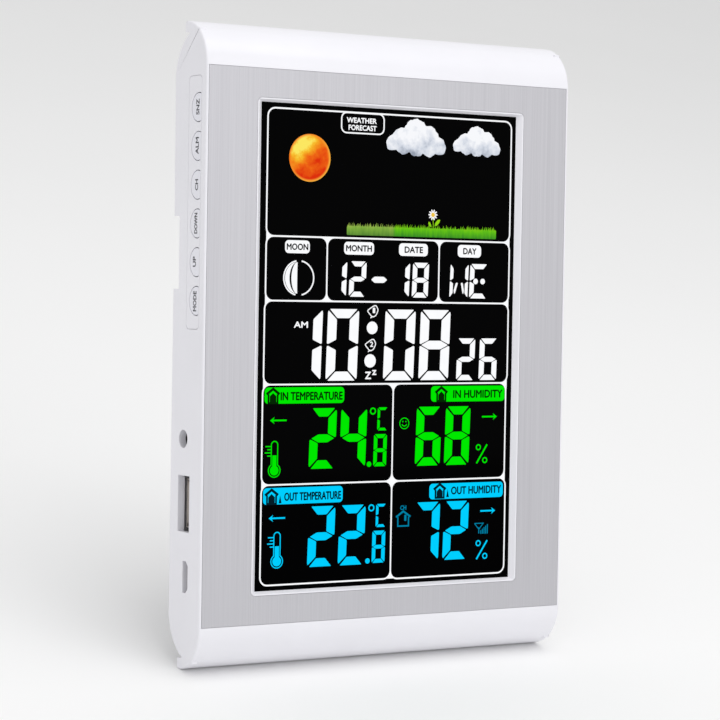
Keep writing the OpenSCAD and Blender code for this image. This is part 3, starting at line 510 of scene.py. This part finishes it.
# Frames between the fields: rounded boxes that touch, with their lines drawn as ribbons
fields = {
    "forecast": (-39.3, 39.8, 29.9, 64.2),
    "moon": (-39.3, -20.3, 12.55, 29.9),
    "date": (-20.3, 16.0, 12.55, 29.9),
    "day": (16.0, 39.8, 12.55, 29.9),
    "time": (-39.5, 39.8, -10.05, 12.55),
    "indoorHeat": (-39.7, 1.6, -37.1, -10.05),
    "indoorDamp": (1.6, 39.4, -37.1, -10.05),
    "outdoorHeat": (-39.7, 1.6, -64.2, -37.1),
    "outdoorDamp": (1.6, 39.8, -64.3, -37.1),
}
frameLine = {"corner": 2.2, "width": 0.45}
titleBox = {"left": -16.4, "right": -2.8, "low": 58.6, "high": 64.1, "corner": 1.6, "width": 0.4}
lines = displayPiece("fieldLines", whiteGlow, "display_white", 1)
for left, right, low, high in fields.values():
    lines.ribbon(*roundBox(left, right, low, high, frameLine["corner"]), frameLine["width"], closed=True)


def junction(u, v, size, quarters):
    # white fillets where frames meet: a corner filled up to the quarter circle
    angle = np.linspace(0, math.pi / 2, 6)
    for du, dv in quarters:
        cu, cv = u + du * size, v + dv * size
        edgeU = cu - du * size * np.sin(angle)
        edgeV = cv - dv * size * np.cos(angle)
        s = np.linspace(0, 1, 2)[:, None]
        lines.grid(u + s * (edgeU - u), v + s * (edgeV - v))


for (u, v, quarters) in (
    (-39.3, 29.9, ((1, 1), (1, -1))), (39.8, 29.9, ((-1, 1), (-1, -1))),
    (-20.3, 29.9, ((1, -1), (-1, -1))), (16.0, 29.9, ((1, -1), (-1, -1))),
    (-39.4, 12.55, ((1, 1), (1, -1))), (-20.3, 12.55, ((1, 1), (-1, 1))),
    (16.0, 12.55, ((1, 1), (-1, 1))), (39.8, 12.55, ((-1, 1), (-1, -1))),
    (-39.6, -10.05, ((1, 1), (1, -1))), (1.6, -10.05, ((1, -1), (-1, -1))),
    (39.7, -10.05, ((-1, 1), (-1, -1))), (-39.7, -37.1, ((1, 1), (1, -1))),
    (1.6, -37.1, ((1, 1), (-1, 1), (1, -1), (-1, -1))), (39.6, -37.1, ((-1, 1), (-1, -1))),
    (1.6, -64.2, ((1, 1), (-1, 1))),
):
    junction(u, v, frameLine["corner"], quarters)
boxU, boxV = roundBox(*(titleBox[k] for k in ("left", "right", "low", "high", "corner")))
lines.ribbon(boxU, boxV, titleBox["width"], closed=True)
lines.done()

# word, its middle across and up, width, height, weight
whiteWords = (
    ("WEATHER", -10.0, 62.1, 9.6, 1.5, 0.14),
    ("FORECAST", -9.7, 60.1, 9.0, 1.5, 0.14),
    ("AM", -28.2, 6.15, 4.4, 1.75, 0.16),
    ("Z", -6.7, -7.7, 2.0, 2.1, 0.2),
    ("z", -4.7, -6.9, 1.4, 1.4, 0.16),
)
# word, its left and right ends, the ends of its label
labels = (
    ("MOON", -33.0, -26.3, -33.5, -25.8),
    ("MONTH", -14.4, -6.1, -15.0, -5.4),
    ("DATE", 4.5, 10.6, 2.7, 12.2),
    ("DAY", 24.0, 28.5, 22.2, 30.1),
)
label = {"low": 25.4, "high": 28.9, "corner": 1.1, "middle": 27.15, "letters": 1.8, "weight": 0.15}
titles = displayPiece("fieldTitles", whiteGlow, "display_white")
for word in whiteWords:
    titles.text(*word)
for _, _, _, left, right in labels:
    titles.fill(*roundBox(left, right, label["low"], label["high"], label["corner"]))
titles.done()

ink = displayPiece("titleInk", blackInk, "display_black", 4)
for word, left, right, _, _ in labels:
    ink.text(word, (left + right) / 2, label["middle"], right - left, label["letters"], label["weight"])
ink.done()

timeSize = {"low": -9.1, "width": 9.9, "height": 19.6, "stroke": 2.9, "bar": 2.5}
secondsSize = {"low": -9.2, "width": 6.0, "height": 11.8, "stroke": 1.7, "bar": 1.5, "gap": 0.3, "radius": 0.2}
dateSize = {"low": 13.9, "width": 5.3, "height": 9.7, "stroke": 1.5, "bar": 1.4,
            "gap": 0.3, "slant": 0.035, "radius": 0.2}
wideLetter = {**dateSize, "width": 6.0}
thinLetter = {**dateSize, "width": 6.1, "stroke": 1.05, "bar": 1.2}
clock = displayPiece("clockDigits", whiteGlow, "display_white")
for shape, left in (("1", -31.5), ("0", -20.0), ("0", -1.6), ("8", 10.0)):
    digit(clock, shape, left, **timeSize)
clock.fill(*circle(-5.6, 5.4, 1.75))  # the colon's dots
clock.fill(*circle(-6.1, -3.7, 1.85))
for shape, left in (("2", 22.5), ("6", 30.1)):
    digit(clock, shape, left, **secondsSize)
for shape, left in (("1", -19.35), ("2", -13.15), ("1", 1.0), ("8", 7.25)):
    digit(clock, shape, left, **dateSize)
dash = ((-6.2, 18.65), (-5.1, 19.5), (-2.1, 19.5), (-1.0, 18.65), (-2.1, 17.8), (-5.1, 17.8))
clock.fill(*soften(dash, 0.3))
digit(clock, "E", 26.4, **wideLetter)
for u in (28.4, 30.8):
    clock.fill(*circle(u, 18.7, 0.8))
for shape in ("l", "1"):
    digit(clock, shape, 19.75, **thinLetter)
clock.fill(*soften(((21.2, 15.1), (21.5, 15.3), (22.4, 18.1), (22.1, 18.3), (21.7, 18.1), (21.0, 16.0)), 0.15))
clock.fill(*soften(((24.3, 15.1), (24.0, 15.3), (23.4, 18.1), (23.7, 18.3), (24.1, 18.1), (24.5, 16.0)), 0.15))
clock.done()

indoor = displayPiece("indoorReadings", greenGlow, "display_green")
outdoor = displayPiece("outdoorReadings", cyanGlow, "display_cyan")
readingSize = {"width": 8.3, "height": 16.5, "stroke": 2.6, "bar": 2.3, "gap": 0.5}
tenthSize = {"width": 4.2, "height": 8.9, "stroke": 1.15, "bar": 1.1, "gap": 0.22, "slant": 0.02, "radius": 0.15}
degreeSize = {"width": 3.3, "height": 6.4, "stroke": 0.8, "bar": 0.75, "gap": 0.2, "slant": 0.02, "radius": 0.1}
for piece, top, labelLeft, labelRight, digits in (
    (indoor, -16.55, (-15.2, -10.8), (-15.2, -10.8), "2468"),
    (outdoor, -43.3, (-42.4, -37.9), (-42.6, -38.2), "2272"),
):
    low = top - readingSize["height"]
    piece.fill(*roundBox(-39.1, -14.2, *labelLeft, 1.1))
    piece.fill(*roundBox(14.05, 39.0, *labelRight, 1.1))
    for shape, left in zip(digits, (-24.95, -15.25, 9.25, 18.95)):
        digit(piece, shape, left, low, **readingSize)
    piece.fill(*circle(-5.9, low + 0.85, 0.75))
    digit(piece, "8", -4.5, low + 0.2, **tenthSize)
    piece.ribbon(*arc(-4.9, top - 1.0, 0.8), 0.4)
    digit(piece, "C", -3.4, top - degreeSize["height"], **degreeSize)
print("digits made")


def arrow(piece, tail, head, v):
    way = 1 if head > tail else -1
    piece.ribbon(np.array([tail, head - way * 0.6]), np.array([v, v]), 0.45)
    piece.fill(np.array([head, head - way * 1.4, head - way * 0.9, head - way * 1.4]),
               np.array([v, v + 0.95, v, v - 0.95]))


def thermometer(piece, u, v):
    # (u, v) is the bulb's centre
    piece.fill(*circle(u, v, 1.35))
    piece.ribbon(*arc(u, v, 1.8, 118, 422, 30), 0.3)
    piece.fill(np.array([u - 0.65, u + 0.65, u + 0.65, u - 0.65]), np.array([v, v, v + 4.1, v + 4.1]))
    capU, capV = arc(u, v + 6.9, 0.98, 180, 0, 12)
    piece.ribbon(np.concatenate([[u - 0.98], capU, [u + 0.98]]),
                 np.concatenate([[v + 1.5], capV, [v + 1.5]]), 0.3)
    for step, length in enumerate((1.7, 1.1, 1.9, 1.1)):
        at = v + 6.5 - 0.85 * step
        piece.ribbon(np.array([u - 1.1 - length, u - 1.1]), np.array([at, at]), 0.32)


def percent(piece, left, right, low, high):
    piece.ribbon(np.array([left + 0.2, right - 0.2]), np.array([low, high]), 0.5)
    piece.ribbon(*arc(left + 0.75, high - 0.75, 0.7), 0.38)
    piece.ribbon(*arc(right - 0.9, low + 0.85, 0.7), 0.38)


def house(piece, left, right, low, high, stroke=0.35):
    mid = (left + right) / 2
    eave = low + 0.62 * (high - low)
    piece.ribbon(np.array([left - 0.3, mid, right + 0.3]), np.array([eave, high, eave]), stroke * 1.3)
    piece.ribbon(np.array([left + 0.3, left + 0.3, right - 0.3, right - 0.3]),
                 np.array([eave, low, low, eave]), stroke)


arrow(indoor, -32.2, -37.3, -19.7)
arrow(outdoor, -32.2, -37.3, -46.1)
arrow(indoor, 31.4, 36.5, -19.6)
arrow(outdoor, 31.4, 36.5, -46.4)
thermometer(indoor, -35.8, -33.2)
thermometer(outdoor, -34.6, -57.8)
percent(indoor, 29.6, 33.5, -32.8, -27.5)
percent(outdoor, 30.1, 34.1, -60.1, -54.8)
indoor.ribbon(*arc(5.4, -21.1, 1.5), 0.25)
indoor.ribbon(*arc(5.4, -21.0, 0.85, 205, 335, 10), 0.25)
for u in (4.9, 5.9):
    indoor.fill(*circle(u, -20.6, 0.2, 10))
indoor.done()
outdoor.done()

dim = displayPiece("outdoorSmallSigns", dimCyanGlow, "display_cyan")
house(dim, 3.5, 7.6, -49.7, -45.6, 0.4)
dim.text("CH", 5.5, -44.6, 2.0, 1.3, 0.1)
dim.fill(*roundBox(5.9, 6.6, -48.3, -46.6, 0.2))
dim.ribbon(np.array([31.0, 31.0]), np.array([-52.8, -51.0]), 0.3)
dim.ribbon(np.array([29.5, 31.0, 32.5, 29.5]), np.array([-49.9, -51.6, -49.9, -49.9]), 0.25)
for step in range(5):
    u = 31.7 + 0.55 * step
    dim.ribbon(np.array([u, u]), np.array([-52.9, -51.9 + 0.42 * step]), 0.32)
dim.done()

for piece, side, shift in ((displayPiece("indoorInk", greenInk, "display_black", 4), "IN", 0.0),
                           (displayPiece("outdoorInk", cyanInk, "display_black", 4), "OUT", -27.2)):
    tight = 1.6 if side == "OUT" else 0.0
    piece.text(side + " TEMPERATURE", (-34.3 + tight - 14.6) / 2, -13.2 + shift, 19.5 - tight, 2.3, 0.17)
    piece.text(side + " HUMIDITY", 29.85, -13.1 + shift, 16.8 + 0.2 * tight, 2.3, 0.17)
    for left in (-38.4, 15.6):
        house(piece, left + 0.2, left + 3.6, -15.0 + shift, -11.2 + shift, 0.55)
        piece.fill(left + np.array([0.9, 1.9, 2.9, 2.9, 0.9]),
                   np.array([-13.2, -12.3, -13.2, -14.9, -14.9]) + shift)
        if side == "OUT":
            piece.fill(np.array([left + 4.1, left + 5.0, left + 4.55]), np.array([-14.9, -14.9, -12.7]) + shift)
    piece.done()

disk = {"u": -29.1, "v": 18.75, "radius": 4.65, "line": 0.4, "shadeU": -29.5, "across": 4.5, "up": 4.25}
moon = displayPiece("moonSign", whiteGlow, "display_white")
for start, end in ((100, 258), (-78, 80)):
    moon.ribbon(*arc(disk["u"], disk["v"], disk["radius"], start, end, 30), disk["line"])
turn = np.linspace(math.radians(98), math.radians(262), 24)
for outer, inner in ((0.86, 0.55), (0.42, 0.02)):
    # a crescent lies between two half ellipses
    s = np.linspace(0, 1, 2)[:, None]
    share = outer + s * (inner - outer)
    moon.grid(disk["shadeU"] + disk["across"] * share * np.cos(turn),
              disk["v"] + disk["up"] * np.sin(turn) + 0 * s)
moon.done()

bellOutline = ((-1.7, 0.2), (0.0, -1.6), (1.1, -1.2), (1.9, 0.4), (1.2, 1.7), (0.3, 1.5))
bells = displayPiece("alarmSigns", whiteGlow, "display_white")
for u, v, mark in ((-5.6, 9.9, "1"), (-6.2, 0.6, "2")):
    bodyU, bodyV = soften(bellOutline, 0.5)
    bells.ribbon(u + bodyU, v + bodyV, 0.3, closed=True)
    bells.text(mark, u + 0.5, v + 0.3, 0.8 if mark == "1" else 1.1, 1.5, 0.14)
    bells.ribbon(np.array([u - 0.6, u + 0.1]), np.array([v - 1.8, v - 1.3]), 0.3)
bells.done()
print("signs made")


sun = {"u": -26.2, "v": 51.25, "radius": 6.45}


def sunColor(look):
    u = look.along(rightward, sun["u"]) / sun["radius"]
    v = look.along(upward, sun["v"]) / sun["radius"]
    patches = look.noise(190.0, 4.0, 0.6)
    height = 0.42 + 0.38 * v - 0.22 * u + 1.7 * (patches - 0.5)
    body = look.ramp(height, ((0.05, (0.72, 0.03, 0.004)), (0.38, (0.86, 0.13, 0.008)),
                              (0.62, (0.90, 0.30, 0.014)), (0.82, (0.94, 0.52, 0.03)),
                              (0.97, (0.97, 0.80, 0.12))))
    edge = look.node("ShaderNodeMapRange", {"interpolation_type": "SMOOTHSTEP"},
                     {"Value": (u * u + v * v) ** 0.5, "From Min": 0.86, "From Max": 1.0})
    side = look.node("ShaderNodeMapRange", None, {"Value": u - v, "From Min": -1.0, "From Max": 1.0})
    rim = look.mix(side, (0.90, 0.16, 0.01, 1.0), (1.0, 0.52, 0.06, 1.0))
    return look.mix(edge * 0.85, body, rim)


disc = displayPiece("forecastSun", picture("display_sun", sunColor), "display_sun")
disc.fill(*circle(sun["u"], sun["v"], sun["radius"], 64))
disc.done()

# middle and radius of the round lumps of a cloud, then middle and size of each cloud
cloudLumps = ((-8.0, -1.5, 2.0), (-4.9, -0.1, 2.9), (-0.3, 1.5, 3.9), (3.7, 0.2, 3.5),
              (7.3, -1.9, 2.4), (0.0, -1.6, 3.3), (4.2, -2.3, 2.6), (-4.4, -1.8, 2.7))
clouds = ((7.9, 58.0, 1.0), (28.1, 57.9, 0.82))


def cloudColor(look):
    v = look.along(upward, 53.5)
    puffs = look.noise(260.0, 4.0, 0.6)
    tone = 0.36 + 0.06 * v + 1.3 * (puffs - 0.5)
    return look.ramp(tone, ((0.15, (0.30, 0.34, 0.42)), (0.45, (0.66, 0.70, 0.78)),
                            (0.75, (0.93, 0.94, 0.97))))


def cloudRadius(angle):
    # the furthest that a ray from the middle runs inside any round lump
    reach = np.zeros_like(angle)
    for cu, cv, radius in cloudLumps:
        near = cu * np.cos(angle) + cv * np.sin(angle)
        half = radius ** 2 - (cu ** 2 + cv ** 2 - near ** 2)
        reach = np.where(half > 0, np.maximum(reach, near + np.sqrt(np.maximum(half, 0))), reach)
    return reach


sky = displayPiece("forecastClouds", picture("display_cloud", cloudColor), "display_white")
angle = np.linspace(0, 2 * math.pi, 120, endpoint=False)
for u, v, size in clouds:
    ripple = 1 + 0.02 * np.sin(13 * angle) + 0.012 * np.sin(29 * angle + 1)
    reach = size * cloudRadius(angle) * ripple
    s = np.array([0.0, 0.5, 1.0])[:, None]
    sky.grid(u + s * reach * np.cos(angle), v + s * reach * np.sin(angle), wrap=True)
sky.done()

grass = {"left": -14.2, "right": 35.1, "low": 30.75, "body": 33.2, "tip": 34.3, "blades": 150, "seed": 4}


def grassColor(look):
    u = look.along(rightward)
    v = look.along(upward, grass["low"])
    streaks = look.noise(1.0, 2.0, 0.5, look.node("ShaderNodeMapping", None,
                                                  {"Vector": look.spot(), "Scale": (1500.0, 300.0, 300.0)}))
    tone = 0.08 + 0.2 * v + 0.5 * (streaks - 0.5)
    fresh = look.ramp(tone, ((0.0, (0.03, 0.22, 0.02)), (0.45, (0.11, 0.50, 0.01)),
                             (0.9, (0.30, 0.66, 0.01))))
    dull = look.ramp(tone, ((0.0, (0.07, 0.20, 0.03)), (0.45, (0.20, 0.40, 0.05)),
                            (0.9, (0.42, 0.52, 0.10))))
    side = look.node("ShaderNodeMapRange", None, {"Value": u, "From Min": 0.6, "From Max": 1.4})
    return look.mix(side, dull, fresh)


lawn = displayPiece("forecastGrass", picture("display_grass", grassColor), "display_grass", 1)
lawn.fill(*roundBox(grass["left"], grass["right"], grass["low"], grass["body"], 0.35))
random = np.random.default_rng(grass["seed"])
base = np.linspace(grass["left"] + 0.2, grass["right"] - 0.2, grass["blades"])
base += random.uniform(-0.1, 0.1, grass["blades"])
tips = random.uniform(grass["body"] + 0.1, grass["tip"], grass["blades"])
sway = random.uniform(-0.25, 0.25, grass["blades"])
for at, tip, lean in zip(base, tips, sway):
    # a blade tapers: half width 0.17 x (1 - t) + 0.01, leaning by lean x t squared
    t = np.linspace(0, 1, 4)
    half = 0.17 * (1 - t) + 0.01
    middle = at + lean * t ** 2
    rise = grass["body"] - 0.3 + (tip - grass["body"] + 0.3) * t
    lawn.grid(np.stack([middle - half, middle + half]), np.stack([rise, rise]))
lawn.fill(*soften(((13.4, 33.6), (12.9, 34.8), (12.3, 35.2), (12.2, 34.5), (12.7, 33.7)), 0.3))
lawn.fill(*soften(((14.2, 33.8), (14.5, 34.8), (15.3, 35.7), (16.2, 35.8), (15.9, 34.9), (15.0, 34.0)), 0.3))
lawn.ribbon(np.array([13.9, 13.75]), np.array([33.2, 36.6]), 0.2)
lawn.done()

flower = {"u": 13.7, "v": 37.05, "petals": 10, "heart": 0.62}
petals = displayPiece("forecastPetals", whiteGlow, "display_white")
for step in range(flower["petals"]):
    turn = step * math.tau / flower["petals"]
    u, v = circle(0, 0, 1, 12)
    longU, longV = 0.95 + 0.6 * u, 0.24 * v
    petals.fill(flower["u"] + longU * math.cos(turn) - longV * math.sin(turn),
                flower["v"] + longU * math.sin(turn) + longV * math.cos(turn))
petals.done()
heart = displayPiece("forecastHeart", glow("display_yellow", (0.85, 0.55, 0.06)), "display_sun", 4)
heart.fill(*circle(flower["u"], flower["v"], flower["heart"]))
heart.done()
print("forecast made")


# key, its word, the word's low and high ends, its front and back edges
keyWords = (("snooze", "SNZ", 61.4, 65.6, 3.6, 5.9), ("alarm", "ALM", 51.0, 55.5, 3.7, 6.0),
            ("channel", "CH", 41.4, 44.4, 3.8, 5.9), ("down", "DOWN", 30.0, 35.5, 3.9, 6.1),
            ("up", "UP", 21.2, 24.0, 4.4, 6.6), ("mode", "MODE", 9.4, 14.8, 3.8, 6.2))
for key, word, low, high, front, back in keyWords:
    printed = Piece("print" + key.title(), materials["key_print"], "key_print", onLeft(0.02), -rightward)
    printed.text(word, (low + high) / 2, (front + back) / 2, high - low, (back - front) * 0.8, 0.12)
    printed.done("key_" + key)
print("printing made")


lowest = cadBox[0][2]
reach = 8  # half the floor's width in metres
floorLook = Look("floor_pale", Roughness=0.6)
floorTone = floorLook.noise(3.0, 2.0)
floorLook.feed("Base Color", floorLook.mix(floorTone, (0.90, 0.90, 0.90, 1), (0.93, 0.93, 0.93, 1)))
floorMesh = bpy.data.meshes.new("floor")
corners = [(-reach, -reach, lowest), (reach, -reach, lowest), (reach, reach, lowest), (-reach, reach, lowest)]
floorMesh.from_pydata(corners, [], [(0, 1, 2, 3)])
floorMesh.materials.append(floorLook.material)
floor = bpy.data.objects.new("floor", floorMesh)
bpy.context.scene.collection.objects.link(floor)

world = bpy.data.worlds.new("studio")
world.use_nodes = True
world.node_tree.nodes["Background"].inputs[0].default_value = (1.0, 1.0, 1.0, 1.0)
world.node_tree.nodes["Background"].inputs[1].default_value = 0.74
bpy.context.scene.world = world

# where a lamp stands, what it points at, its size and its power
lamps = {
    "topLamp": ((0.1, -0.3, 1.3), (0, 0, 0.1), 1.0, 5.6),
    "frontLamp": ((0.5, -1.3, 0.7), (0, 0, 0.08), 0.9, 2.6),
    "leftLamp": ((-1.3, -0.5, 0.5), (0, 0, 0.08), 0.8, 0.7),
}
for name, (where, target, size, power) in lamps.items():
    data = bpy.data.lights.new(name, "AREA")
    data.size = size
    data.energy = power
    lamp = bpy.data.objects.new(name, data)
    aim = np.array(target, float) - np.array(where, float)
    lamp.rotation_euler = Vector(aim).to_track_quat("-Z", "Y").to_euler()
    lamp.location = where
    bpy.context.scene.collection.objects.link(lamp)

# angles in degrees and place in mm, in the leaning body's directions
view = {"yaw": 31.22, "pitch": 1.70, "roll": 0.93, "from": (-350.8, -562.1, 16.1),
        "lens": 120.0, "sensor": 36.0}
yaw, pitch, roll = (math.radians(view[k]) for k in ("yaw", "pitch", "roll"))
axes = np.stack([rightward, backward, upward])
ahead = np.array([math.sin(yaw) * math.cos(pitch), math.cos(yaw) * math.cos(pitch), -math.sin(pitch)])
side = np.array([math.cos(yaw), -math.sin(yaw), 0.0])
above = np.cross(side, ahead)
sideR = math.cos(roll) * side + math.sin(roll) * above
aboveR = -math.sin(roll) * side + math.cos(roll) * above
camera = bpy.data.objects.new("camera", bpy.data.cameras.new("camera"))
camera.data.lens = view["lens"]
camera.data.sensor_width = view["sensor"]
camera.data.clip_start = 0.01
turnTo = Matrix(np.stack([sideR @ axes, aboveR @ axes, -(ahead @ axes)], 1).tolist())
camera.matrix_world = Matrix.Translation(place(*view["from"])) @ turnTo.to_4x4()
bpy.context.scene.collection.objects.link(camera)
bpy.context.scene.camera = camera
bpy.context.scene.view_settings.view_transform = "Standard"
print("stage made")
